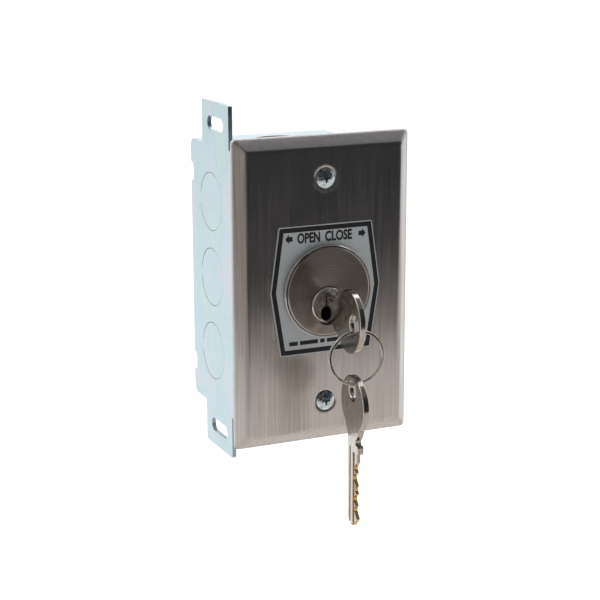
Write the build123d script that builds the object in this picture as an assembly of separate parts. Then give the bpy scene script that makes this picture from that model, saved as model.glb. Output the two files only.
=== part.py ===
from build123d import *
import os
from math import cos, radians, sin, sqrt

# Selector key switch for a one-gang wall box, millimetres.
# +X is to the right and +Z is up for a person who faces the plate, and +Y goes into the wall.
# The origin is the centre of the plate, on the wall surface that the plate's rim rests on.

# ---------------------------------------------------------------- driving dimensions
PLATE_W = 69.85             # one-gang wall plate, 2-3/4 in
PLATE_H = 114.3             # 4-1/2 in
PLATE_DEPTH = 4.5           # rim to front face
PLATE_SHEET = 0.9
PLATE_BEVEL = 4.3           # width of the sloping border
PLATE_LIP = 0.9             # upright edge below the slope
PLATE_CORNER_R = 1.7
PLATE_CROWN_R = 2.2
COVER_SCREW_Z = 83.34 / 2   # 3-9/32 in between the cover screws

SHEET = 1.6                 # box steel
BOX_LEFT = -27.45           # outside of the shell, inside of the bracket sheet
BOX_RIGHT = 28.6
BOX_HALF_H = 50.6
BOX_REAR = 55.3
BOX_FRONT = 0.3

EAR_HALF_H = 66.8
EAR_FRONT = 16.2
EAR_REAR = 42.8
EAR_SLOT = (15.9, 5.2)      # length in depth, height
EAR_SLOT_Z = 58.7

KNOCKOUT_R = 11.1           # 1/2 in trade size, 7/8 in hole
KNOCKOUT_PITCH = 29.0
KNOCKOUT_DEPTH = 34.6       # Y of the side and end knockouts
KNOCKOUT_CUT = 1.1          # depth of the sheared ring
REAR_HOLES_Z = (-31.75, 31.75)
REAR_HOLE_R = 2.4
GROUND_X = 17.0             # grounding screw in the rear wall
GROUND_Z = -41.0
GROUND_SCREW_R = 2.3

LOCK_Z = 0.6                # centre of the lock cylinder
PLUG_Z = -4.6               # centre of the plug in it
HEAD_R = 16.35
HEAD_FRONT = -7.7
TRIM_R = (16.55, 17.15)     # thin collar round the head
TRIM_FRONT = -7.35
BARREL_R = 14.6             # 1.15 in, 32 threads to the inch
BARREL_REAR = 20.6
THREAD_PITCH = 25.4 / 32
THREAD_DEPTH = 0.45
PLUG_R = 6.35
PLUG_HEAD_R = 6.8
PLUG_FRONT = -7.8
PLUG_REAR = 20.9
RUNNING = 0.05              # radial clearance of a running fit
APART = 0.3                 # gap between parts that move past each other

PIN_COUNT = 5
PIN_FIRST = 5.9             # first pin, behind the plug's face
PIN_PITCH = 3.96
PIN_R = 1.45
PIN_CHAMBER_R = 1.5
DRIVER_LENGTH = 4.2
COVER_STRIP = (12.0, 13.4)  # bottom and top of the strip that closes the pin chambers
STRIP_HALF_W = 2.4

LABEL_SHEET = 0.3
LABEL_Z = 1.1
LABEL_HALF_H = 23.9
LABEL_HALF_W = (18.5, 21.9, 18.1)   # top, middle, bottom

KEY_Z = -6.5                # centre line of the key in the lock
KEY_THICK = 2.2
KEY_BOW = (10.3, 11.5)      # half length, half width
KEY_NECK = 7.4              # bow to shoulder
KEY_BLADE = 28.2            # shoulder to tip
KEY_BLADE_HALF = 4.1
KEY_HOLE_R = 3.3
KEY_HOLE_EDGE = 5.3         # hole centre from the bow's far edge
KEY_CUTS = (2.3, 3.2, 1.9, 2.9, 2.4)
KEY_MILLING = ((-1, -0.8, 0.5), (1, 0.8, 0.4))  # thinner cut edge: side, lower limit, depth
KEY_GROOVE = (-2.4, -1.2, 0.45)     # groove along the right side: low, high, depth

RING_R = 9.75               # centre of the wire
RING_WIRE = (1.0, 0.64)     # radial, axial size of one turn
RING_GAP = 0.08
RING_TURN = 8.0             # its plane against the plate, degrees
RING_HANG = 2.2             # wire below the hole's centre

SPARE_TURN = -5.6
SPARE_X = -0.5              # where the spare key hangs on the ring

CAM_R = 8.0
CAM_SHEET = 2.2
CAM_SCREW_X = 4.2
CAM_SCREW_RISE = 1.0        # above the plug's centre
CRANK_R = 6.0               # cam post from the plug's centre
POST_R = 2.5
LEVER_RISE = 14.0           # lever hinge above the plug's centre
LEVER_X = 3.25              # hinge from the middle
LEVER_THICK = 0.8
LEVER_LENGTH = 21.6
SWITCH_X = (7.3, 17.5)      # inner and outer side of a microswitch
SWITCH_Y = (23.6, 30.0)
SWITCH_UP = 2.0             # case above the hinge
SWITCH_LENGTH = 19.8
SWITCH_HOLE_X = 14.6
SWITCH_HOLES = (3.2, 12.7)  # below the hinge
PLUNGER_DROP = 6.0          # plunger below the hinge
PLUNGER_R = 1.3
BRACKET_SHEET = 1.5

LABEL_BACK = -PLATE_DEPTH
LABEL_FRONT = LABEL_BACK - LABEL_SHEET
PLATE_INNER = -PLATE_DEPTH + PLATE_SHEET
DRIVER_LOW = PLUG_Z + PLUG_R + APART
DRIVER_HIGH = DRIVER_LOW + DRIVER_LENGTH
CAM_FRONT = PLUG_REAR
CAM_REAR = CAM_FRONT + CAM_SHEET
LEVER_Z = PLUG_Z + LEVER_RISE
SWITCH_MID_Y = (SWITCH_Y[0] + SWITCH_Y[1]) / 2
BOW_U = -(KEY_NECK + KEY_BOW[0])    # bow centre from the shoulder
HOLE_U = -(KEY_NECK + 2 * KEY_BOW[0] - KEY_HOLE_EDGE)   # ring hole from the shoulder
RING_TOP = (0, PLUG_FRONT + HOLE_U, KEY_Z - RING_HANG)
RING_CENTRE = (0, RING_TOP[1], RING_TOP[2] - RING_R)
RING_BOTTOM = (0, RING_TOP[1], RING_TOP[2] - 2 * RING_R)


# ---------------------------------------------------------------- helpers
def block(x, y, z):
    """Box from three (low, high) pairs."""
    size = [high - low for low, high in (x, y, z)]
    middle = [(high + low) / 2 for low, high in (x, y, z)]
    return Pos(*middle) * Box(*size)


def rod_x(radius, x, y, z):
    return Pos((x[0] + x[1]) / 2, y, z) * Rot(0, 90, 0) * Cylinder(radius, x[1] - x[0])


def rod_y(radius, x, y, z):
    return Pos(x, (y[0] + y[1]) / 2, z) * Rot(90, 0, 0) * Cylinder(radius, y[1] - y[0])


def rod_z(radius, x, y, z):
    return Pos(x, y, (z[0] + z[1]) / 2) * Cylinder(radius, z[1] - z[0])


def slab_y(sketch, y):
    """Extrude a sketch drawn in X and Z over a range of Y."""
    plane = Plane(origin=(0, y[1], 0), x_dir=(1, 0, 0), z_dir=(0, -1, 0))
    return extrude(plane * sketch, amount=y[1] - y[0])


def slab_x(sketch, x):
    """Extrude a sketch drawn in Y and Z over a range of X."""
    plane = Plane(origin=(x[0], 0, 0), x_dir=(0, 1, 0), z_dir=(1, 0, 0))
    return extrude(plane * sketch, amount=x[1] - x[0])


def turned(points, x=0, z=0):
    """Solid of revolution about a Y axis, from (radius, y) points."""
    face = make_face(Polyline(*points, close=True))
    return Pos(x, 0, z) * revolve(face, axis=Axis.Y)


def mirrored_pair(shape):
    """A part and its copy on the other side of the middle."""
    return [shape, mirror(shape, about=Plane.YZ)]


def group(solids):
    """Separate solids in one node."""
    return Compound(children=list(solids))


def sheared_ring(radius=KNOCKOUT_R, depth=KNOCKOUT_CUT):
    """Cutter for a knockout in a face at Z = 0: the shear opens away from its tie at -X."""
    outer = rod_z(radius, 0, 0, (-depth, 1))
    inner = rod_z(radius - 0.19, 0.12, 0, (-depth, 1))
    tie = block((-radius - 1, -radius + 3), (-2.0, 2.0), (-depth, 1))
    return outer - inner - tie


# ---------------------------------------------------------------- wall box
def knockout_cutters():
    """Sheared rings in the side, end and rear walls."""
    ring = sheared_ring()
    cutters = []
    for row in (-1, 0, 1):
        z = row * KNOCKOUT_PITCH
        left = Plane(origin=(BOX_LEFT - SHEET, KNOCKOUT_DEPTH, z), x_dir=(0, -1, 0), z_dir=(-1, 0, 0))
        right = Plane(origin=(BOX_RIGHT, KNOCKOUT_DEPTH, z), x_dir=(0, -1, 0), z_dir=(1, 0, 0))
        cutters += [left * ring, right * ring]
    bottom = Plane(origin=(0, KNOCKOUT_DEPTH, -BOX_HALF_H), x_dir=(0, -1, 0), z_dir=(0, 0, -1))
    rear = Plane(origin=(0, BOX_REAR, 0), x_dir=(0, 0, 1), z_dir=(0, 1, 0))
    return cutters + [bottom * ring, rear * ring]


def make_box_shell(cutters):
    """Folded shell: top, bottom, right side and rear, with two tapped tabs for the cover."""
    corner_r = 3.0
    y = (BOX_FRONT, BOX_REAR)
    outer = block((BOX_LEFT, BOX_RIGHT), y, (-BOX_HALF_H, BOX_HALF_H))
    outer = fillet(outer.edges().filter_by(Axis.X).group_by(Axis.Y)[-1], corner_r)
    outer = fillet(outer.edges().filter_by(Axis.Z).sort_by(Axis.X)[-2:].sort_by(Axis.Y)[-1], corner_r)
    hollow = block((BOX_LEFT - 1, BOX_RIGHT - SHEET), (-1, BOX_REAR - SHEET),
                   (-BOX_HALF_H + SHEET, BOX_HALF_H - SHEET))
    shell = outer - hollow
    tab_drop = 14.0
    tab_half_w = 7.5
    for side in (-1, 1):
        edge = side * (BOX_HALF_H - SHEET / 2)
        z = sorted((edge, side * (BOX_HALF_H - tab_drop)))
        shell += block((-tab_half_w, tab_half_w), (BOX_FRONT, BOX_FRONT + SHEET), z)
        shell -= rod_y(1.8, 0, (-1, BOX_FRONT + SHEET + 1), side * COVER_SCREW_Z)
    shell -= rod_z(KNOCKOUT_R, 0, KNOCKOUT_DEPTH, (BOX_HALF_H - 2 * SHEET, BOX_HALF_H + 1))
    for z in REAR_HOLES_Z:
        shell -= rod_y(REAR_HOLE_R, 0, (BOX_REAR - 2 * SHEET, BOX_REAR + 1), z)
    shell -= rod_y(GROUND_SCREW_R + RUNNING, GROUND_X, (BOX_REAR - 2 * SHEET, BOX_REAR + 1), GROUND_Z)
    for cutter in cutters:
        shell -= cutter
    return shell


def make_side_bracket(cutters):
    """Left side of the box in one sheet with the two stud ears."""
    x = (BOX_LEFT - SHEET, BOX_LEFT)
    side = block(x, (BOX_FRONT, BOX_REAR), (-BOX_HALF_H, BOX_HALF_H))
    side = fillet(side.edges().filter_by(Axis.X).group_by(Axis.Y)[-1], 3.2)
    ears = block(x, (EAR_FRONT, EAR_REAR), (-EAR_HALF_H, EAR_HALF_H))
    ears = fillet(ears.edges().filter_by(Axis.X), 0.8)
    sheet = side + ears
    slot_length, slot_height = EAR_SLOT
    for end in (-1, 1):
        slot = Pos((EAR_FRONT + EAR_REAR) / 2 - 0.2, end * EAR_SLOT_Z) * SlotOverall(slot_length, slot_height)
        sheet -= slab_x(slot, (x[0] - 1, x[1] + 1))
        notch = Pos(BOX_REAR + 1.2, end * 37.7) * RectangleRounded(7.6, 7.4, 2.4)
        sheet -= slab_x(notch, (x[0] - 1, x[1] + 1))
    for cutter in cutters:
        sheet -= cutter
    return sheet


def make_ground_screw():
    """Hexagon washer-head screw in the rear wall, head inside the box."""
    inner = BOX_REAR - SHEET
    head = slab_y(Pos(GROUND_X, GROUND_Z) * RegularPolygon(4.0, 6), (inner - 3.6, inner - 0.8))
    flange = rod_y(5.2, GROUND_X, (inner - 0.8, inner), GROUND_Z)
    shank = rod_y(GROUND_SCREW_R, GROUND_X, (inner, BOX_REAR + 3.0), GROUND_Z)
    slot = block((GROUND_X - 4.5, GROUND_X + 4.5), (inner - 4, inner - 2.4), (GROUND_Z - 0.6, GROUND_Z + 0.6))
    return head + flange + shank - slot


# ---------------------------------------------------------------- cover plate
def dished_block(inset, y_front):
    """Solid under the plate's outer or inner skin: upright lip, sloping border and flat front."""
    half_w = PLATE_W / 2 - inset
    half_h = PLATE_H / 2 - inset

    def outline(y, shrink):
        plane = Plane(origin=(0, y, 0), x_dir=(1, 0, 0), z_dir=(0, -1, 0))
        return plane * Rectangle(2 * (half_w - shrink), 2 * (half_h - shrink))

    body = extrude(outline(0, 0), amount=PLATE_LIP)
    body += loft([outline(-PLATE_LIP, 0), outline(y_front, PLATE_BEVEL)], ruled=True)
    corner_edges = [edge for edge in body.edges() if abs(edge.tangent_at(0.5).Y) > 0.3]
    body = fillet(corner_edges, PLATE_CORNER_R - inset)
    front = body.faces().sort_by(Axis.Y)[0]
    return fillet(front.edges(), PLATE_CROWN_R - inset)


def make_cover_plate():
    """Formed stainless plate with countersunk screw holes and the lock hole."""
    plate = dished_block(0, -PLATE_DEPTH)
    plate -= dished_block(PLATE_SHEET, PLATE_INNER)
    for side in (-1, 1):
        z = side * COVER_SCREW_Z
        plate += rod_y(4.9, 0, (PLATE_INNER, PLATE_INNER + 1.2), z)
        cone = [(0, -PLATE_DEPTH - 0.5), (4.6, -PLATE_DEPTH - 0.5), (2.3, -PLATE_DEPTH + 1.9), (0, 1)]
        plate -= turned(cone, 0, z)
        plate -= rod_y(2.3, 0, (-PLATE_DEPTH - 1, 1), z)
    return plate - rod_y(BARREL_R + 0.15, 0, (-PLATE_DEPTH - 1, 1), LOCK_Z)


def make_cover_screw(z):
    """Oval-head cross-recess screw into the box tab."""
    face = -PLATE_DEPTH
    head_r = 3.7
    dome = Pos(0, face + 6.2, z) * Sphere(7.2)
    head = turned([(0, face + 1.9), (1.75, face + 1.9), (head_r, face - 0.1), (head_r, face - 1.5), (0, face - 1.5)], 0, z)
    screw = (head & dome) + rod_y(1.75, 0, (face + 1.8, 14.0), z)
    recess = [(0, face + 1.6), (0.55, face + 1.4), (2.1, face - 1.6), (0, face - 1.6)]
    cross = block((-0.42, 0.42), (face - 2, face + 1.6), (z - 2.2, z + 2.2))
    cross += block((-2.2, 2.2), (face - 2, face + 1.6), (z - 0.42, z + 0.42))
    return screw - (cross & turned(recess, 0, z))


def make_label():
    """Six-sided label around the lock."""
    top, middle, bottom = LABEL_HALF_W
    high = LABEL_Z + LABEL_HALF_H
    low = LABEL_Z - LABEL_HALF_H
    points = [(-top, high), (top, high), (middle, LABEL_Z), (bottom, low), (-bottom, low), (-middle, LABEL_Z)]
    sheet = slab_y(make_face(Polyline(*points, close=True)), (LABEL_FRONT, LABEL_BACK))
    sheet = fillet(sheet.edges().filter_by(Axis.Y), 0.4)
    return sheet - rod_y(BARREL_R + 0.15, 0, (LABEL_FRONT - 1, LABEL_BACK + 1), LOCK_Z)


# ---------------------------------------------------------------- lock cylinder
def pin_positions():
    return [PLUG_FRONT + PIN_FIRST + PIN_PITCH * index for index in range(PIN_COUNT)]


def make_cylinder_body():
    """Headed barrel with the offset plug bore and the pin chambers above it."""
    face = [(0, HEAD_FRONT), (HEAD_R - 0.45, HEAD_FRONT), (HEAD_R, HEAD_FRONT + 0.3), (HEAD_R, LABEL_FRONT)]
    thread = []
    turns = int((BARREL_REAR - LABEL_FRONT - 2.0) / THREAD_PITCH)
    for turn in range(turns):
        y = LABEL_FRONT + 1.5 + turn * THREAD_PITCH
        thread += [(BARREL_R, y), (BARREL_R - THREAD_DEPTH, y + THREAD_PITCH / 2)]
    end = [(BARREL_R - THREAD_DEPTH, BARREL_REAR), (0, BARREL_REAR)]
    body = turned(face + [(BARREL_R - THREAD_DEPTH, LABEL_FRONT)] + thread + end, 0, LOCK_Z)
    body -= rod_y(PLUG_R + RUNNING, 0, (HEAD_FRONT - 1, BARREL_REAR + 1), PLUG_Z)
    body -= rod_y(PLUG_HEAD_R + 0.6, 0, (HEAD_FRONT - 1, PLUG_FRONT + 1.6), PLUG_Z)
    ys = pin_positions()
    strip_y = (ys[0] - 2.4, ys[-1] + 2.4)
    body -= block((-STRIP_HALF_W, STRIP_HALF_W), strip_y, (COVER_STRIP[0], LOCK_Z + BARREL_R + 1))
    for y in ys:
        body -= rod_z(PIN_CHAMBER_R, 0, y, (PLUG_Z, COVER_STRIP[0] + 0.1))
    return body


def make_trim_ring():
    """Thin collar between the head's edge and the label."""
    inner, outer = TRIM_R
    edge = 0.2
    points = [(inner, LABEL_FRONT), (outer, LABEL_FRONT), (outer, TRIM_FRONT + edge), (outer - edge, TRIM_FRONT),
              (inner + 0.1, TRIM_FRONT), (inner, TRIM_FRONT + 0.1)]
    return turned(points, 0, LOCK_Z)


def make_chamber_cover():
    ys = pin_positions()
    strip_y = (ys[0] - 2.4 + RUNNING, ys[-1] + 2.4 - RUNNING)
    return block((-STRIP_HALF_W + RUNNING, STRIP_HALF_W - RUNNING), strip_y, COVER_STRIP)


def make_lock_nut():
    """Round nut with four spanner slots, behind the plate and the switch bracket."""
    y = (PLATE_INNER + BRACKET_SHEET, PLATE_INNER + BRACKET_SHEET + 4.5)
    nut = rod_y(18.2, 0, y, LOCK_Z)
    nut = chamfer(nut.edges().filter_by(GeomType.CIRCLE), 0.6)
    nut -= rod_y(BARREL_R + RUNNING, 0, (y[0] - 1, y[1] + 1), LOCK_Z)
    for quarter in range(4):
        slot = block((-2.2, 2.2), (y[0] - 1, y[1] + 1), (16.4, 20.0))
        nut -= Pos(0, 0, LOCK_Z) * Rot(0, 45 + 90 * quarter, 0) * slot
    return nut


def make_plug():
    """Plug with keyway, pin chambers and two tapped holes for the cam."""
    head_back = PLUG_FRONT + 1.5
    points = [(0, PLUG_FRONT), (PLUG_HEAD_R - 0.5, PLUG_FRONT), (PLUG_HEAD_R, PLUG_FRONT + 0.5),
              (PLUG_HEAD_R, head_back), (PLUG_R, head_back), (PLUG_R, PLUG_REAR), (0, PLUG_REAR)]
    plug = turned(points, 0, PLUG_Z)
    keyway_y = (PLUG_FRONT - 1, PLUG_FRONT + KEY_BLADE + 0.5)
    keyway_top = KEY_Z + KEY_BLADE_HALF + APART
    plug -= block((-1.35, 1.35), keyway_y, (PLUG_Z - 8, keyway_top))
    plug -= slab_y(Pos(-1.6, PLUG_Z - 2.9) * Ellipse(1.7, 2.6), keyway_y)
    for y in pin_positions():
        plug -= rod_z(PIN_CHAMBER_R, 0, y, (keyway_top - 0.1, PLUG_Z + 8))
    for side in (-1, 1):
        plug -= rod_y(1.1, side * CAM_SCREW_X, (PLUG_REAR - 6, PLUG_REAR + 1), PLUG_Z + CAM_SCREW_RISE)
    return plug


def make_pin(y, low, high, taper):
    """Round pin with a tapered lower end."""
    pin = rod_z(PIN_R, 0, y, (low, high))
    return chamfer(pin.edges().sort_by(Axis.Z)[0], taper)


def make_bottom_pins():
    low = KEY_Z + KEY_BLADE_HALF + APART
    curve = PLUG_R - sqrt(PLUG_R ** 2 - PIN_R ** 2)
    high = PLUG_Z + PLUG_R - curve
    return group([make_pin(y, low, high, 0.7) for y in pin_positions()])


def make_driver_pins():
    return group([make_pin(y, DRIVER_LOW, DRIVER_HIGH, 0.2) for y in pin_positions()])


def make_pin_springs():
    """Small coil springs between the drivers and the cover strip."""
    wire_r = 0.17
    coil_r = 1.15
    bottom = DRIVER_HIGH + wire_r + 0.05
    height = COVER_STRIP[0] - 0.05 - wire_r - bottom
    path = Helix(pitch=height / 6, height=height, radius=coil_r)
    section = Plane(origin=path @ 0, z_dir=path % 0) * Circle(wire_r)
    coil = sweep(section, path=path, is_frenet=True)
    return group([Pos(0, y, bottom) * coil for y in pin_positions()])


# ---------------------------------------------------------------- cam
def make_cam():
    """Disc on the plug's tail with an eccentric post that works the two levers."""
    cam = rod_y(CAM_R, 0, (CAM_FRONT, CAM_REAR), PLUG_Z)
    arm = SlotCenterToCenter(CRANK_R, 2 * POST_R + 1.4, rotation=90)
    cam += slab_y(Pos(0, PLUG_Z - CRANK_R / 2) * arm, (CAM_FRONT, CAM_REAR))
    post = rod_y(POST_R, 0, (CAM_REAR, SWITCH_Y[1] - 0.6), PLUG_Z - CRANK_R)
    cam += chamfer(post.edges().group_by(Axis.Y)[-1], 0.5)
    for side in (-1, 1):
        cam -= rod_y(1.15, side * CAM_SCREW_X, (CAM_FRONT - 1, CAM_REAR + 1), PLUG_Z + CAM_SCREW_RISE)
    return cam


def make_cam_screws():
    screws = []
    for side in (-1, 1):
        x = side * CAM_SCREW_X
        z = PLUG_Z + CAM_SCREW_RISE
        screw = rod_y(1.9, x, (CAM_REAR, CAM_REAR + 1.2), z)
        screw += rod_y(1.05, x, (PLUG_REAR - 5, CAM_REAR), z)
        screw -= block((x - 2, x + 2), (CAM_REAR + 0.6, CAM_REAR + 2), (z - 0.25, z + 0.25))
        screws.append(screw)
    return group(screws)


# ---------------------------------------------------------------- switches
def make_switch_bracket():
    """C-shaped bracket: a flange under the lock nut, an arm over the barrel and a rear plate."""
    half_w = 19.0
    arm_z = (21.0, 21.0 + BRACKET_SHEET)
    front_y = (PLATE_INNER, PLATE_INNER + BRACKET_SHEET)
    rear_y = (SWITCH_Y[1], SWITCH_Y[1] + BRACKET_SHEET)
    bracket = block((-half_w, half_w), front_y, (-19.0, arm_z[1]))
    bracket += block((-half_w, half_w), (front_y[0], rear_y[1]), arm_z)
    bracket += block((-half_w, half_w), rear_y, (-12.0, arm_z[1]))
    outer_bends = [edge for edge in bracket.edges().filter_by(Axis.X) if edge.center().Z > arm_z[1] - 0.01]
    bracket = fillet(outer_bends, 1.4)
    bracket -= rod_y(BARREL_R + 0.15, 0, (front_y[0] - 1, front_y[1] + 1), LOCK_Z)
    for side in (-1, 1):
        for drop in SWITCH_HOLES:
            bracket -= rod_y(1.2, side * SWITCH_HOLE_X, (rear_y[0] - 1, rear_y[1] + 1), LEVER_Z - drop)
    return bracket


def make_switch_case():
    """Right-hand microswitch case with the two lugs that hold the lever's hinge pin."""
    z = (LEVER_Z + SWITCH_UP - SWITCH_LENGTH, LEVER_Z + SWITCH_UP)
    wall = 1.0
    case = block(SWITCH_X, SWITCH_Y, z)
    case = fillet(case.edges().filter_by(Axis.Y), 0.5)
    cavity_z = (LEVER_Z - PLUNGER_DROP - 4.5, LEVER_Z - PLUNGER_DROP + 2.0)
    cavity = block((SWITCH_X[0] + 1.6, SWITCH_HOLE_X - 1.8), (SWITCH_Y[0] + wall, SWITCH_Y[1] - wall), cavity_z)
    case -= cavity
    case -= rod_x(PLUNGER_R + RUNNING, (SWITCH_X[0] - 1, SWITCH_X[0] + 2), SWITCH_MID_Y, LEVER_Z - PLUNGER_DROP)
    for y in ((SWITCH_Y[0], SWITCH_Y[0] + wall), (SWITCH_Y[1] - wall, SWITCH_Y[1])):
        lug = Pos(LEVER_X, LEVER_Z) * Circle(1.35) + Pos((LEVER_X + 8) / 2, LEVER_Z) * Rectangle(8 - LEVER_X, 2.7)
        case += slab_y(lug, y)
    case += rod_y(0.6, LEVER_X, SWITCH_Y, LEVER_Z)
    for drop in SWITCH_HOLES:
        case -= rod_y(1.2, SWITCH_HOLE_X, (SWITCH_Y[0] - 1, SWITCH_Y[1] + 1), LEVER_Z - drop)
    for z_terminal in terminal_heights():
        case -= terminal_block(z_terminal, 0.03)
    return case


def terminal_heights():
    bottom = LEVER_Z + SWITCH_UP - SWITCH_LENGTH
    return [bottom + 2.2, bottom + 8.2, bottom + 17.4]


def terminal_block(z, grow=0.0):
    """Flat terminal blade that stands out of the case's outer side."""
    x = (SWITCH_X[1] - 1.0 - grow, SWITCH_X[1] + 4.8)
    y = (SWITCH_MID_Y - 1.6 - grow, SWITCH_MID_Y + 1.6 + grow)
    return block(x, y, (z - 0.25 - grow, z + 0.25 + grow))


def make_terminals():
    blades = []
    for z in terminal_heights():
        blade = terminal_block(z)
        blade -= rod_z(0.7, SWITCH_X[1] + 3.0, SWITCH_MID_Y, (z - 1, z + 1))
        blades.append(blade)
    return blades


def make_contact_blade():
    """Snap blade inside the case, behind the plunger."""
    x = SWITCH_HOLE_X - 1.8 - 1.2
    z = LEVER_Z - PLUNGER_DROP
    y = (SWITCH_MID_Y - 1.5, SWITCH_MID_Y + 1.5)
    blade = block((x, x + 0.25), y, (z - 4.4, z + 1.9))
    contact = rod_x(0.8, (x + 0.25, x + 0.85), SWITCH_MID_Y, z - 3.4)
    return blade + contact


def make_lever():
    """Right-hand lever: a strip curled round the hinge pin."""
    y = (SWITCH_Y[0] + 1.3, SWITCH_Y[1] - 1.3)
    x = (LEVER_X - LEVER_THICK / 2, LEVER_X + LEVER_THICK / 2)
    strip = block(x, y, (LEVER_Z - LEVER_LENGTH, LEVER_Z - 0.9))
    curl = rod_y(1.3, LEVER_X, y, LEVER_Z)
    lever = strip + curl
    return lever - rod_y(0.6 + RUNNING, LEVER_X, (y[0] - 1, y[1] + 1), LEVER_Z)


def make_plunger():
    """Right-hand plunger with a rounded nose towards the lever."""
    nose = LEVER_X + LEVER_THICK / 2 + APART
    plunger = rod_x(PLUNGER_R, (nose, SWITCH_X[0] + 2.6), SWITCH_MID_Y, LEVER_Z - PLUNGER_DROP)
    return fillet(plunger.edges().sort_by(Axis.X)[0], 1.0)


def make_switch_fasteners():
    """Four screws from the rear of the bracket, and their nuts in front of the cases."""
    rear = SWITCH_Y[1] + BRACKET_SHEET
    nut_y = (SWITCH_Y[0] - 1.5, SWITCH_Y[0])
    screws = []
    nuts = []
    for side in (-1, 1):
        for drop in SWITCH_HOLES:
            x = side * SWITCH_HOLE_X
            z = LEVER_Z - drop
            head = rod_y(2.1, x, (rear, rear + 1.4), z)
            head -= block((x - 2.5, x + 2.5), (rear + 0.7, rear + 2), (z - 0.3, z + 0.3))
            screws.append(head + rod_y(1.1, x, (nut_y[0] - 0.3, rear), z))
            nut = slab_y(Pos(x, z) * RegularPolygon(2.5, 6), nut_y)
            nuts.append(nut - rod_y(1.15, x, (nut_y[0] - 1, nut_y[1] + 1), z))
    return group(screws), group(nuts)


# ---------------------------------------------------------------- keys and ring
def key_blade_outline():
    """Neck, shoulder and cut blade in (u, v): u from the shoulder to the tip, v towards the cuts."""
    half = KEY_BLADE_HALF
    fairing = [(BOW_U + 4.0, -9.4), (-5.0, -half), (-5.0, half), (BOW_U + 4.0, 9.4)]
    outline = make_face(Polyline(*fairing, close=True))
    outline += Pos((KEY_BLADE - KEY_NECK) / 2, 0) * Rectangle(KEY_BLADE + KEY_NECK, 2 * half)
    outline += Pos(-1.5 - APART, half + 0.5) * RectangleRounded(3.0, 2.4, 0.5)
    outline -= Pos(-4.4, half + 0.6) * RectangleRounded(2.2, 2.4, 0.6)
    lower_tip = [(KEY_BLADE + 1, -half + 3.4), (KEY_BLADE + 1, -half - 1), (KEY_BLADE - 3.4, -half - 1)]
    upper_tip = [(KEY_BLADE + 1, -0.6), (KEY_BLADE + 1, half + 1), (KEY_BLADE - 4.6, half + 1)]
    outline -= make_face(Polyline(*lower_tip, close=True))
    outline -= make_face(Polyline(*upper_tip, close=True))
    for index, depth in enumerate(KEY_CUTS):
        u = PIN_FIRST + index * PIN_PITCH
        flat = 0.55
        flank = flat + depth + 0.6
        cut = [(u - flat, half - depth), (u + flat, half - depth), (u + flank, half + 0.6), (u - flank, half + 0.6)]
        outline -= make_face(Polyline(*cut, close=True))
    return outline


def make_key():
    """Key with its shoulder at the origin, its tip at +Y and its cuts up."""
    half_t = KEY_THICK / 2
    bow = slab_x(Pos(BOW_U, 0) * Ellipse(*KEY_BOW), (-half_t, half_t))
    bow = fillet(bow.edges().filter_by(GeomType.ELLIPSE), 0.35)
    bow -= rod_x(KEY_HOLE_R, (-half_t - 1, half_t + 1), HOLE_U, 0)
    bow = fillet(bow.edges().filter_by(GeomType.CIRCLE), 0.8)
    key = bow + slab_x(key_blade_outline(), (-half_t, half_t))
    for side, low, depth in KEY_MILLING:
        milled_x = sorted((side * (half_t - depth), side * (half_t + 1)))
        key -= block(milled_x, (-APART, KEY_BLADE + 1), (low, KEY_BLADE_HALF + 1))
    low, high, depth = KEY_GROOVE
    return key - block((half_t - depth, half_t + 1), (-1.5, KEY_BLADE + 1), (low, high))


def make_split_ring():
    """Two turns of flat wire, side by side."""
    radial, axial = RING_WIRE
    pitch = axial + RING_GAP
    path = Helix(pitch=pitch, height=2 * pitch, radius=RING_R)
    section = Plane(origin=path @ 0, x_dir=(1, 0, 0), z_dir=path % 0) * RectangleRounded(radial, axial, 0.2)
    coil = sweep(section, path=path, is_frenet=True)
    turn = radians(RING_TURN)
    frame = Plane(origin=RING_CENTRE, x_dir=(cos(turn), -sin(turn), 0), z_dir=(-sin(turn), -cos(turn), 0))
    return frame * (Rot(0, 0, 150) * Pos(0, 0, -pitch) * coil)


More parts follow.
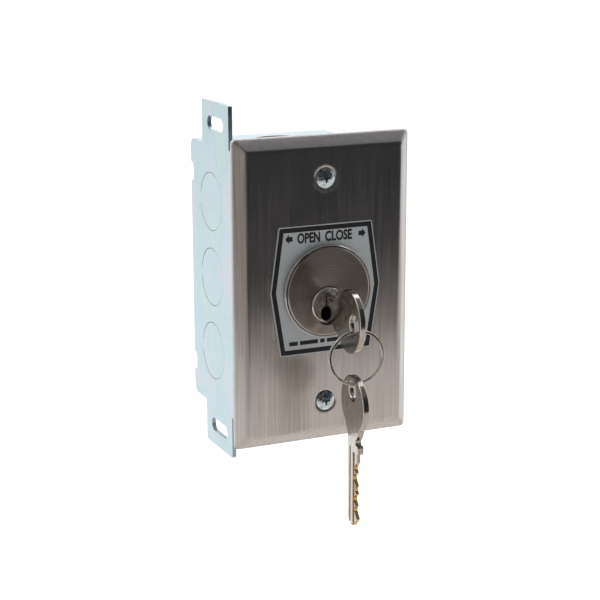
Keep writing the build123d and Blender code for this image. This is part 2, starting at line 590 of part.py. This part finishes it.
# ---------------------------------------------------------------- write
def main():
    cutters = knockout_cutters()
    key = make_key()
    spare = Pos(SPARE_X, RING_BOTTOM[1], RING_BOTTOM[2] - RING_HANG) * Rot(0, 0, 180 + SPARE_TURN)
    spare = spare * (Rot(-90, 0, 0) * Pos(0, -HOLE_U, 0) * key)
    switch_screws, switch_nuts = make_switch_fasteners()
    cases = mirrored_pair(make_switch_case())
    levers = mirrored_pair(make_lever())
    plungers = mirrored_pair(make_plunger())
    nodes = {
        "box_shell": make_box_shell(cutters),
        "side_bracket": make_side_bracket(cutters),
        "ground_screw": make_ground_screw(),
        "cover_plate": make_cover_plate(),
        "cover_screws": group([make_cover_screw(side * COVER_SCREW_Z) for side in (-1, 1)]),
        "label": make_label(),
        "cylinder_body": make_cylinder_body(),
        "trim_ring": make_trim_ring(),
        "chamber_cover": make_chamber_cover(),
        "driver_pins": make_driver_pins(),
        "pin_springs": make_pin_springs(),
        "lock_nut": make_lock_nut(),
        "switch_bracket": make_switch_bracket(),
        "switch_screws": switch_screws,
        "switch_nuts": switch_nuts,
        "switch_case_right": cases[0],
        "switch_case_left": cases[1],
        "terminals_right": group(make_terminals()),
        "terminals_left": group([mirror(blade, about=Plane.YZ) for blade in make_terminals()]),
        "contact_blades": group(mirrored_pair(make_contact_blade())),
        "plug": make_plug(),
        "bottom_pins": make_bottom_pins(),
        "cam": make_cam(),
        "cam_screws": make_cam_screws(),
        "key": Pos(0, PLUG_FRONT, KEY_Z) * key,
        "split_ring": make_split_ring(),
        "spare_key": spare,
        "lever_right": levers[0],
        "lever_left": levers[1],
        "plunger_right": plungers[0],
        "plunger_left": plungers[1],
    }
    os.makedirs("parts", exist_ok=True)
    for name, shape in nodes.items():
        export_step(shape, "parts/" + name + ".step")


main()
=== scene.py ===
import math

import bmesh
import bpy
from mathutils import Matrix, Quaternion, Vector


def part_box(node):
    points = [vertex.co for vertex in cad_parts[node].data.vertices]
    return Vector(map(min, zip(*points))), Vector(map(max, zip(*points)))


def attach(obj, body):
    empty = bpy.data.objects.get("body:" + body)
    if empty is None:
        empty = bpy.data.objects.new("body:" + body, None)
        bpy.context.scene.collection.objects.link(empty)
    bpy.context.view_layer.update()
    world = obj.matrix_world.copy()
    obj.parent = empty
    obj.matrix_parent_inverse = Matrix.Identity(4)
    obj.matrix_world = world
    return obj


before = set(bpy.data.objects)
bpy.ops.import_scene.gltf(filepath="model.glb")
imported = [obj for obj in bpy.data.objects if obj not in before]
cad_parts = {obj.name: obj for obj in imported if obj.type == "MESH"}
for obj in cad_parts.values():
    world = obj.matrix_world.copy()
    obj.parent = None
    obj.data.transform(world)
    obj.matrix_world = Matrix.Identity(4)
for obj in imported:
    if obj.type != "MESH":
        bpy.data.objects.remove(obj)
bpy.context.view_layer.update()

# Looks for the selector key switch, in metres. Every CAD node keeps its shape and gets a material here,
# and the label's print is built on top of the label's face.

MM = 0.001
Y_AXIS = 1
Z_AXIS = 2

# Camera, as seen from the left and above
AZIMUTH = math.radians(-24.2)
ELEVATION = math.radians(13.86)
ROLL = math.radians(-0.15)
TARGET = Vector((-8.15, 0.0, -3.46)) * MM
DISTANCE = 580.3 * MM
LENS = 95.2

# Studio
FLOOR_Z = -0.27
FLOOR_HALF = 2.4
TABLE_Z = FLOOR_Z + 0.01
TOP_LIGHT_PLACE = (0.0, 1.0, 1.5)
TOP_LIGHT_AIM = (0.0, 1.0, 0.0)
TOP_LIGHT_SIZE = (4.0, 2.6)
TOP_LIGHT_RADIANCE = 1.3
# World brightness against the direction's Y, from 0 on the plate's side to 1 behind the wall
WORLD_STOPS = ((0.0, 0.62), (0.42, 0.66), (0.62, 1.15), (1.0, 1.2))
# Cards seen only in reflections: four corners and a colour
CARDS = {
    "front_flag": ((-0.35, -0.62, -0.205), (1.4, -0.62, -0.205),
                   (1.4, -0.62, 0.9), (-0.35, -0.62, 0.9), (0.002, 0.003, 0.006)),
    "left_reflector": ((-1.1, -0.1, -0.26), (-0.36, -0.64, -0.26),
                       (-0.36, -0.64, 0.8), (-1.1, -0.1, 0.8), (0.23, 0.20, 0.175)),
    "upper_reflector": ((-0.5, -0.6, 0.62), (0.9, -0.6, 0.62),
                        (0.9, 0.1, 1.15), (-0.5, 0.1, 1.15), (0.13, 0.13, 0.135)),
    "front_table": ((-0.6, -1.4, TABLE_Z), (1.4, -1.4, TABLE_Z),
                    (1.4, 0.2, TABLE_Z), (-0.6, 0.2, TABLE_Z), (0.60, 0.55, 0.515)),
}

# Label print
LABEL_TOP_HALF = 18.5 * MM
LABEL_BOTTOM_HALF = 18.1 * MM
OUTLINE_INSET = 0.35 * MM       # bright hairline outside the black border
BORDER_WIDTH = 1.75 * MM
INK_DEPTH = 0.03 * MM
CAP_HEIGHT = 3.9 * MM
LEGEND_BASE = 18.6 * MM         # height of the letters' feet
LEGENDS = (("OPEN", -11.3 * MM, -2.3 * MM), ("CLOSE", -0.3 * MM, 10.5 * MM))
ARROW_X = 14.6 * MM
ARROW_SIZE = 2.9 * MM
ARROW_HEAD = 0.58               # half height of the head and the shaft against the size
ARROW_SHAFT = 0.30
LETTER_STROKE = 0.04            # thickening of the typeface's outline
NOTE_Z = -18.4 * MM
NOTE_HEIGHT = 1.5 * MM
NOTE_BARS = (3.4, 7.2, 1.8, 6.0, 2.6, 3.8)   # word lengths in millimetres
NOTE_GAP = 0.9 * MM

# Finishes
FOLD_SOFTNESS = 1.7 * MM        # how far the plate's folds blend into its flat front
FOLD_SAMPLES = 8
CUT_EDGE = -2.4 * MM            # top of the cut side of the key in the lock
CUTS_BEHIND = -4.0 * MM         # Y behind which that key is cut
SPARE_EDGE_IN = 7.4 * MM        # the spare key's cut side, behind its bow's front
SPARE_CUTS_BELOW = -56.5 * MM   # Z below which that key is cut
CUT_DEPTH = 3.6 * MM            # bare metal, inwards from the cut edge
CUT_EDGE_MARGIN = 0.05 * MM


# ---------------------------------------------------------------- material graphs
class Graph:
    """A material's node tree, with short calls for the nodes that this script uses."""

    def __init__(self, name, metallic, roughness, **constants):
        self.material = bpy.data.materials.new(name)
        self.material.use_nodes = True
        self.tree = self.material.node_tree
        self.shader = self.tree.nodes["Principled BSDF"]
        self.shader.inputs["Metallic"].default_value = metallic
        self.shader.inputs["Roughness"].default_value = roughness
        for socket, value in constants.items():
            self.shader.inputs[socket.replace("_", " ")].default_value = value
        self.place = self.node("ShaderNodeTexCoord").outputs["Object"]

    def node(self, kind, **settings):
        made = self.tree.nodes.new(kind)
        for name, value in settings.items():
            setattr(made, name, value)
        return made

    def feed(self, socket, value):
        """Link an output to a socket, or set a plain value on it."""
        if isinstance(value, bpy.types.NodeSocket):
            self.tree.links.new(value, socket)
        else:
            socket.default_value = value

    def stretched(self, per_mm):
        """Object coordinates in cells: how many to the millimetre along X, Y and Z."""
        mapping = self.node("ShaderNodeMapping")
        self.feed(mapping.inputs["Vector"], self.place)
        mapping.inputs["Scale"].default_value = [cells / MM for cells in per_mm]
        return mapping.outputs["Vector"]

    def noise(self, per_mm, detail=3.0, rough=0.55, distortion=0.0):
        made = self.node("ShaderNodeTexNoise")
        self.feed(made.inputs["Vector"], self.stretched(per_mm))
        made.inputs["Scale"].default_value = 1.0
        made.inputs["Detail"].default_value = detail
        made.inputs["Roughness"].default_value = rough
        made.inputs["Distortion"].default_value = distortion
        return made.outputs["Fac"]

    def ramp(self, value, *stops):
        made = self.node("ShaderNodeValToRGB")
        elements = made.color_ramp.elements
        while len(elements) < len(stops):
            elements.new(0.5)
        for element, (at, colour) in zip(elements, stops):
            element.position = at
            element.color = (*colour, 1.0)
        self.feed(made.inputs["Fac"], value)
        return made.outputs["Color"]

    def spread(self, value, low, high):
        """A noise, from its usual 0.3 to 0.7, spread over low to high."""
        made = self.node("ShaderNodeMapRange")
        self.feed(made.inputs["Value"], value)
        made.inputs["From Min"].default_value = 0.3
        made.inputs["From Max"].default_value = 0.7
        made.inputs["To Min"].default_value = low
        made.inputs["To Max"].default_value = high
        return made.outputs["Result"]

    def math(self, operation, a, b=0.0):
        made = self.node("ShaderNodeMath", operation=operation)
        self.feed(made.inputs[0], a)
        self.feed(made.inputs[1], b)
        return made.outputs["Value"]

    def mix(self, factor, a, b):
        made = self.node("ShaderNodeMix", data_type="RGBA")
        self.feed(made.inputs[0], factor)
        for socket, colour in ((made.inputs[6], a), (made.inputs[7], b)):
            self.feed(socket, colour if isinstance(colour, bpy.types.NodeSocket) else (*colour, 1.0))
        return made.outputs[2]

    def colour(self, value):
        self.feed(self.shader.inputs["Base Color"], value)

    def roughness(self, value):
        self.feed(self.shader.inputs["Roughness"], value)

    def bump(self, height, depth, fold=None):
        """Height of 0 to 1 as a relief of that depth in metres, over folds softened by a radius."""
        made = self.node("ShaderNodeBump")
        made.inputs["Strength"].default_value = 1.0
        made.inputs["Distance"].default_value = depth
        self.feed(made.inputs["Height"], height)
        if fold:
            soft = self.node("ShaderNodeBevel", samples=FOLD_SAMPLES)
            soft.inputs["Radius"].default_value = fold
            self.feed(made.inputs["Normal"], soft.outputs["Normal"])
        self.feed(self.shader.inputs["Normal"], made.outputs["Normal"])

    def tangent(self, axis):
        """Brushing that turns about an axis through the piece."""
        made = self.node("ShaderNodeTangent", direction_type="RADIAL", axis=axis)
        self.feed(self.shader.inputs["Tangent"], made.outputs["Tangent"])

    def part_of_place(self):
        made = self.node("ShaderNodeSeparateXYZ")
        self.feed(made.inputs["Vector"], self.place)
        return made.outputs


def brushed_stainless():
    """Vertical grain with long uneven streaks."""
    g = Graph("brushed_stainless", 1.0, 0.2, Anisotropic=0.8)
    g.tangent("Z")
    fine = g.noise((3.4, 3.4, 0.045), detail=4.0, rough=0.7)
    broad = g.noise((0.9, 0.9, 0.018), detail=3.0)
    cloud = g.noise((0.05, 0.05, 0.04), detail=2.0)
    grain = g.math("ADD", g.math("MULTIPLY", fine, 0.6), g.math("MULTIPLY", broad, 0.4))
    steel = g.ramp(grain, (0.36, (0.40, 0.385, 0.375)), (0.5, (0.51, 0.495, 0.485)),
                   (0.64, (0.62, 0.605, 0.595)))
    g.colour(g.mix(g.spread(cloud, 0.0, 0.2), steel, (0.46, 0.44, 0.425)))
    wear = g.math("ADD", g.math("MULTIPLY", fine, 0.6), g.math("MULTIPLY", cloud, 0.4))
    g.roughness(g.spread(wear, 0.19, 0.27))
    g.bump(grain, 0.0015 * MM, FOLD_SOFTNESS)
    return g.material


def zinc_sheet():
    """Pale blue plating with a faint pink and green bloom and a fine mottle."""
    g = Graph("zinc_sheet", 1.0, 0.36)
    bloom = g.noise((0.06, 0.05, 0.035), detail=3.0, distortion=0.6)
    tint = g.ramp(bloom, (0.30, (0.44, 0.56, 0.53)), (0.42, (0.41, 0.51, 0.55)), (0.52, (0.42, 0.53, 0.57)),
                  (0.60, (0.50, 0.50, 0.56)), (0.68, (0.43, 0.54, 0.57)))
    mottle = g.noise((0.9, 0.9, 0.5), detail=4.0)
    g.colour(g.mix(g.spread(mottle, 0.0, 0.22), tint, (0.52, 0.60, 0.62)))
    g.roughness(g.spread(mottle, 0.30, 0.44))
    g.bump(g.noise((2.0, 2.0, 2.0), detail=3.0), 0.006 * MM)
    return g.material


def zinc_screw():
    """Bright plating with darker water marks."""
    g = Graph("zinc_screw", 1.0, 0.22)
    marks = g.noise((0.8, 0.8, 0.8), detail=4.0)
    g.colour(g.ramp(marks, (0.30, (0.30, 0.38, 0.42)), (0.52, (0.56, 0.66, 0.70)),
                    (0.70, (0.76, 0.83, 0.86))))
    g.roughness(g.spread(marks, 0.15, 0.30))
    g.bump(g.noise((3.0, 3.0, 3.0), detail=3.0), 0.008 * MM)
    return g.material


def turned_nickel():
    """Satin face with rings left by the lathe round the cylinder's middle."""
    g = Graph("turned_nickel", 1.0, 0.22, Anisotropic=0.55, Anisotropic_Rotation=0.25)
    g.tangent("Y")
    low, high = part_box("cylinder_body")
    x, _, z = g.part_of_place()
    off_z = g.math("SUBTRACT", z, (low.z + high.z) / 2)
    radius = g.math("SQRT", g.math("ADD", g.math("MULTIPLY", x, x), g.math("MULTIPLY", off_z, off_z)))
    rings = g.node("ShaderNodeTexNoise", noise_dimensions="1D")
    g.feed(rings.inputs["W"], g.math("MULTIPLY", radius, 1.6 / MM))
    rings.inputs["Scale"].default_value = 1.0
    rings.inputs["Detail"].default_value = 2.0
    cloud = g.noise((0.12, 0.12, 0.12), detail=2.0)
    metal = g.ramp(rings.outputs["Fac"], (0.3, (0.33, 0.305, 0.285)), (0.7, (0.38, 0.355, 0.335)))
    g.colour(g.mix(g.spread(cloud, 0.0, 0.3), metal, (0.36, 0.31, 0.275)))
    g.roughness(g.spread(rings.outputs["Fac"], 0.22, 0.25))
    g.bump(rings.outputs["Fac"], 0.00006 * MM)
    return g.material


def plated_nickel(name, roughness, tone):
    """Bright plate with fine scuffs."""
    g = Graph(name, 1.0, roughness)
    scuff = g.noise((0.6, 0.6, 0.6), detail=3.0)
    darker = [channel * 0.88 for channel in tone]
    g.colour(g.ramp(scuff, (0.32, darker), (0.62, tone)))
    g.roughness(g.spread(scuff, roughness * 0.75, roughness * 1.5))
    g.bump(g.noise((1.6, 1.6, 1.6), detail=2.0), 0.0012 * MM)
    return g.material


def key_nickel(name, edge_side, edge_axis, edge_at, tip_side, tip_axis, cut_from):
    """Nickel blank, bare brass where the cuts went through the plating.

    The cut edge is at edge_at on an axis, and edge_side is 1 or -1 for the way that it faces. The blade is
    cut past cut_from on the other axis, and tip_side is the way to its tip."""
    g = Graph(name, 1.0, 0.2)
    scuff = g.noise((0.5, 0.5, 0.5), detail=3.0)
    drawn = g.noise((0.4, 0.4, 2.2), detail=3.0)
    plate = g.ramp(scuff, (0.32, (0.38, 0.35, 0.315)), (0.62, (0.48, 0.45, 0.415)))
    plate = g.mix(g.spread(drawn, 0.0, 0.3), plate, (0.41, 0.375, 0.34))
    normal = g.node("ShaderNodeSeparateXYZ")
    g.feed(normal.inputs["Vector"], g.node("ShaderNodeTexCoord").outputs["Normal"])
    sideways = g.math("ABSOLUTE", normal.outputs["X"])
    edge_face = g.math("LESS_THAN", sideways, 0.5)
    where = g.part_of_place()
    toward = g.math("MULTIPLY", where[edge_axis], edge_side)
    near_cuts = g.math("MULTIPLY", g.math("GREATER_THAN", toward, edge_side * edge_at - CUT_DEPTH),
                       g.math("LESS_THAN", toward, edge_side * edge_at - CUT_EDGE_MARGIN))
    on_blade = g.math("GREATER_THAN", g.math("MULTIPLY", where[tip_axis], tip_side), tip_side * cut_from)
    bare = g.math("MULTIPLY", edge_face, g.math("MULTIPLY", near_cuts, on_blade))
    speckle = g.noise((2.5, 2.5, 2.5), detail=3.0)
    brass = g.ramp(speckle, (0.35, (0.42, 0.25, 0.09)), (0.65, (0.80, 0.56, 0.24)))
    g.colour(g.mix(bare, plate, brass))
    g.roughness(g.spread(scuff, 0.13, 0.24))
    g.bump(g.noise((1.2, 1.2, 1.2), detail=2.0), 0.0015 * MM)
    return g.material


def foil_label():
    """Satin silver foil with a fine speckle and slight waves."""
    g = Graph("label_face", 0.55, 0.46)
    speckle = g.noise((5.0, 5.0, 5.0), detail=3.0)
    wave = g.noise((0.16, 0.16, 0.16), detail=2.0)
    foil = g.ramp(speckle, (0.35, (0.40, 0.435, 0.455)), (0.65, (0.52, 0.555, 0.575)))
    g.colour(g.mix(g.spread(wave, 0.0, 0.4), foil, (0.46, 0.49, 0.505)))
    g.roughness(g.spread(speckle, 0.40, 0.54))
    g.bump(wave, 0.03 * MM)
    return g.material


def black_ink():
    """Screen-printed black, a little uneven."""
    g = Graph("label_ink", 0.0, 0.42, Specular_IOR_Level=0.3)
    patch = g.noise((2.2, 2.2, 2.2), detail=3.0)
    g.colour(g.ramp(patch, (0.35, (0.006, 0.006, 0.007)), (0.65, (0.016, 0.016, 0.018))))
    g.roughness(g.spread(patch, 0.34, 0.5))
    g.bump(patch, 0.004 * MM)
    return g.material


def plain_metal(name, dark, light, roughness):
    """Tumbled small metal part."""
    g = Graph(name, 1.0, roughness)
    mottle = g.noise((1.6, 1.6, 1.6), detail=4.0)
    g.colour(g.ramp(mottle, (0.32, dark), (0.66, light)))
    g.roughness(g.spread(mottle, roughness * 0.8, roughness * 1.35))
    g.bump(mottle, 0.006 * MM)
    return g.material


def moulded_plastic(name, dark, light, roughness):
    """Moulded case with a fine sparked texture."""
    g = Graph(name, 0.0, roughness)
    grain = g.noise((6.0, 6.0, 6.0), detail=2.0)
    shade = g.noise((0.4, 0.4, 0.4), detail=2.0)
    g.colour(g.ramp(shade, (0.35, dark), (0.65, light)))
    g.roughness(g.spread(grain, roughness * 0.85, roughness * 1.15))
    g.bump(grain, 0.012 * MM)
    return g.material


def dress_nodes():
    """Give every CAD node its material."""
    spare_low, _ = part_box("spare_key")
    zinc = zinc_sheet()
    screw = zinc_screw()
    brass = plain_metal("brass", (0.50, 0.33, 0.13), (0.80, 0.60, 0.28), 0.26)
    spring = plain_metal("spring_steel", (0.42, 0.42, 0.42), (0.66, 0.66, 0.65), 0.24)
    bright = plated_nickel("bright_nickel", 0.18, (0.60, 0.585, 0.56))
    case = moulded_plastic("switch_plastic", (0.016, 0.016, 0.018), (0.030, 0.030, 0.033), 0.48)
    button = moulded_plastic("plunger_plastic", (0.36, 0.035, 0.022), (0.50, 0.055, 0.035), 0.4)
    looks = {
        zinc: ("box_shell", "side_bracket", "switch_bracket"),
        brushed_stainless(): ("cover_plate",),
        screw: ("cover_screws", "switch_screws", "switch_nuts", "lock_nut", "cam", "cam_screws"),
        plain_metal("ground_green", (0.02, 0.16, 0.05), (0.05, 0.30, 0.10), 0.32): ("ground_screw",),
        foil_label(): ("label",),
        turned_nickel(): ("cylinder_body",),
        bright: ("trim_ring", "plug"),
        brass: ("chamber_cover", "driver_pins", "bottom_pins", "terminals_right", "terminals_left"),
        spring: ("pin_springs", "contact_blades", "lever_right", "lever_left"),
        case: ("switch_case_right", "switch_case_left"),
        button: ("plunger_right", "plunger_left"),
        plated_nickel("ring_nickel", 0.1, (0.60, 0.585, 0.56)): ("split_ring",),
        key_nickel("key_nickel", 1, Z_AXIS, CUT_EDGE, 1, Y_AXIS, CUTS_BEHIND): ("key",),
        key_nickel("spare_key_nickel", -1, Y_AXIS, spare_low.y + SPARE_EDGE_IN, -1, Z_AXIS, SPARE_CUTS_BELOW):
            ("spare_key",),
    }
    for material, names in looks.items():
        for name in names:
            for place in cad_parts[name].material_slots:
                place.material = material


# ---------------------------------------------------------------- label print
def inset_outline(points, distance):
    """A convex outline in X and Z, moved inwards."""
    moved = []
    count = len(points)
    for index, point in enumerate(points):
        before = (point - points[index - 1]).normalized()
        after = (points[(index + 1) % count] - point).normalized()
        inward = Vector((-before.y, before.x)) + Vector((-after.y, after.x))
        inward.normalize()
        lean = inward.dot(Vector((-before.y, before.x)))
        moved.append(point + inward * distance / lean)
    return moved


def print_piece(name, mesh, ink):
    """A printed shape that rides with the label."""
    piece = bpy.data.objects.new(name, mesh)
    bpy.context.scene.collection.objects.link(piece)
    mesh.materials.clear()
    mesh.materials.append(ink)
    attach(piece, "housing")
    return piece


def raised_mesh(name, loops, face_y):
    """Closed thin solid on the label: an outline in X and Z, with an optional hole of as many points."""
    shape = bmesh.new()
    front_y = face_y - INK_DEPTH
    rows = [[[shape.verts.new((p.x, y, p.y)) for p in loop] for loop in loops] for y in (front_y, face_y)]
    front, back = rows
    for at, (near, far) in enumerate(zip(front, back)):
        for index in range(len(near)):
            following = (index + 1) % len(near)
            side = [near[index], near[following], far[following], far[index]]
            shape.faces.new(side if at == 0 else side[::-1])
    for layer in rows:
        if len(loops) == 1:
            shape.faces.new(layer[0])
            continue
        outer, inner = layer
        for index in range(len(outer)):
            following = (index + 1) % len(outer)
            shape.faces.new([outer[index], outer[following], inner[following], inner[index]])
    bmesh.ops.recalc_face_normals(shape, faces=shape.faces)
    mesh = bpy.data.meshes.new(name)
    shape.to_mesh(mesh)
    shape.free()
    return mesh


def letters_mesh(word, left, right, face_y):
    """A word in the plain built-in typeface, fitted to its width and the capitals' height."""
    text = bpy.data.curves.new("text_" + word, "FONT")
    text.body = word
    text.extrude = 0.5
    text.offset = LETTER_STROKE
    text.resolution_u = 5
    source = bpy.data.objects.new("text_" + word, text)
    mesh = bpy.data.meshes.new_from_object(source)
    bpy.data.objects.remove(source)
    across = [v.co.x for v in mesh.vertices]
    up = [v.co.y for v in mesh.vertices]
    for v in mesh.vertices:
        x = left + (v.co.x - min(across)) / (max(across) - min(across)) * (right - left)
        z = LEGEND_BASE + (v.co.y - min(up)) / (max(up) - min(up)) * CAP_HEIGHT
        y = face_y - INK_DEPTH * (0.5 + v.co.z)
        v.co = (x, y, z)
    mesh.update()
    return mesh


def print_label():
    """Black border, two arrows, the two legends and a row of plain bars."""
    low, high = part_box("label")
    face_y = low.y
    half_w = high.x
    middle_z = (low.z + high.z) / 2
    ink = black_ink()
    outline = [Vector(p) for p in (
        (-LABEL_BOTTOM_HALF, low.z), (LABEL_BOTTOM_HALF, low.z), (half_w, middle_z),
        (LABEL_TOP_HALF, high.z), (-LABEL_TOP_HALF, high.z), (-half_w, middle_z))]
    outer = inset_outline(outline, OUTLINE_INSET)
    inner = inset_outline(outline, OUTLINE_INSET + BORDER_WIDTH)
    print_piece("label_border", raised_mesh("label_border", [outer, inner], face_y), ink)

    arrow_z = LEGEND_BASE + CAP_HEIGHT / 2
    for side, name in ((-1, "label_arrow_open"), (1, "label_arrow_close")):
        tip = side * (ARROW_X + ARROW_SIZE / 2)
        neck = side * ARROW_X
        tail = side * (ARROW_X - ARROW_SIZE / 2)
        wide = ARROW_SIZE * ARROW_HEAD
        thin = ARROW_SIZE * ARROW_SHAFT
        points = [(tip, arrow_z), (neck, arrow_z + wide), (neck, arrow_z + thin), (tail, arrow_z + thin),
                  (tail, arrow_z - thin), (neck, arrow_z - thin), (neck, arrow_z - wide)]
        print_piece(name, raised_mesh(name, [[Vector(p) for p in points]], face_y), ink)

    for word, left, right in LEGENDS:
        print_piece("label_legend_" + word.lower(), letters_mesh(word, left, right, face_y), ink)

    lengths = [bar * MM for bar in NOTE_BARS]
    x = -(sum(lengths) + NOTE_GAP * (len(lengths) - 1)) / 2
    for number, length in enumerate(lengths):
        low_z, high_z = NOTE_Z - NOTE_HEIGHT / 2, NOTE_Z + NOTE_HEIGHT / 2
        corners = [(x, low_z), (x + length, low_z), (x + length, high_z), (x, high_z)]
        name = f"label_note_{number + 1}"
        print_piece(name, raised_mesh(name, [[Vector(p) for p in corners]], face_y), ink)
        x += length + NOTE_GAP


# ---------------------------------------------------------------- studio
def add_camera():
    back = Vector((math.sin(AZIMUTH) * math.cos(ELEVATION), -math.cos(AZIMUTH) * math.cos(ELEVATION),
                   math.sin(ELEVATION)))
    data = bpy.data.cameras.new("camera")
    data.lens = LENS
    data.sensor_width = 36.0
    data.clip_end = 50.0
    camera = bpy.data.objects.new("camera", data)
    bpy.context.scene.collection.objects.link(camera)
    camera.location = TARGET + back * DISTANCE
    camera.rotation_mode = "QUATERNION"
    camera.rotation_quaternion = Quaternion(back, ROLL) @ back.to_track_quat("Z", "Y")
    bpy.context.scene.camera = camera


def add_softbox(name, place, aim, size, radiance):
    """Area light with a given brightness of its face."""
    data = bpy.data.lights.new(name, "AREA")
    data.shape = "RECTANGLE"
    data.size, data.size_y = size
    data.energy = radiance * math.pi * size[0] * size[1]
    light = bpy.data.objects.new(name, data)
    bpy.context.scene.collection.objects.link(light)
    light.location = place
    light.rotation_mode = "QUATERNION"
    light.rotation_quaternion = (Vector(place) - Vector(aim)).to_track_quat("Z", "Y")
    light.visible_camera = False


def add_card(name, corners, colour):
    """Card that shows only in reflections."""
    mesh = bpy.data.meshes.new(name)
    mesh.from_pydata(corners, [], [range(len(corners))])
    card = bpy.data.objects.new(name, mesh)
    bpy.context.scene.collection.objects.link(card)
    g = Graph(name, 0.0, 0.9)
    g.colour(g.ramp(g.noise((0.01, 0.01, 0.01)), (0.3, colour), (0.7, [channel * 1.2 for channel in colour])))
    mesh.materials.append(g.material)
    for ray in ("camera", "diffuse", "shadow"):
        setattr(card, "visible_" + ray, False)


def add_floor():
    mesh = bpy.data.meshes.new("floor")
    corners = [(-FLOOR_HALF, -FLOOR_HALF, FLOOR_Z), (FLOOR_HALF, -FLOOR_HALF, FLOOR_Z),
               (FLOOR_HALF, FLOOR_HALF, FLOOR_Z), (-FLOOR_HALF, FLOOR_HALF, FLOOR_Z)]
    mesh.from_pydata(corners, [], [(0, 1, 2, 3)])
    floor = bpy.data.objects.new("floor", mesh)
    bpy.context.scene.collection.objects.link(floor)
    g = Graph("floor_paper", 0.0, 0.8)
    g.colour(g.ramp(g.noise((0.02, 0.02, 0.02)), (0.3, (0.90, 0.90, 0.90)), (0.7, (0.93, 0.93, 0.93))))
    mesh.materials.append(g.material)


def add_world():
    """White light from behind the plate and dimmer light on its front."""
    world = bpy.data.worlds.new("studio")
    bpy.context.scene.world = world
    world.use_nodes = True
    nodes, links = world.node_tree.nodes, world.node_tree.links
    direction = nodes.new("ShaderNodeTexCoord").outputs["Generated"]
    split = nodes.new("ShaderNodeSeparateXYZ")
    links.new(direction, split.inputs["Vector"])
    spread = nodes.new("ShaderNodeMapRange")
    links.new(split.outputs["Y"], spread.inputs["Value"])
    spread.inputs["From Min"].default_value = -1.0
    ramp = nodes.new("ShaderNodeValToRGB")
    while len(ramp.color_ramp.elements) < len(WORLD_STOPS):
        ramp.color_ramp.elements.new(0.5)
    for element, (at, value) in zip(ramp.color_ramp.elements, WORLD_STOPS):
        element.position = at
        element.color = (value, value, value, 1.0)
    links.new(spread.outputs["Result"], ramp.inputs["Fac"])
    links.new(ramp.outputs["Color"], nodes["Background"].inputs["Color"])


def build_studio():
    add_camera()
    add_floor()
    add_world()
    add_softbox("top_light", TOP_LIGHT_PLACE, TOP_LIGHT_AIM, TOP_LIGHT_SIZE, TOP_LIGHT_RADIANCE)
    for name, (*corners, colour) in CARDS.items():
        add_card(name, corners, colour)
    bpy.context.scene.view_settings.view_transform = "Standard"


dress_nodes()
print_label()
build_studio()
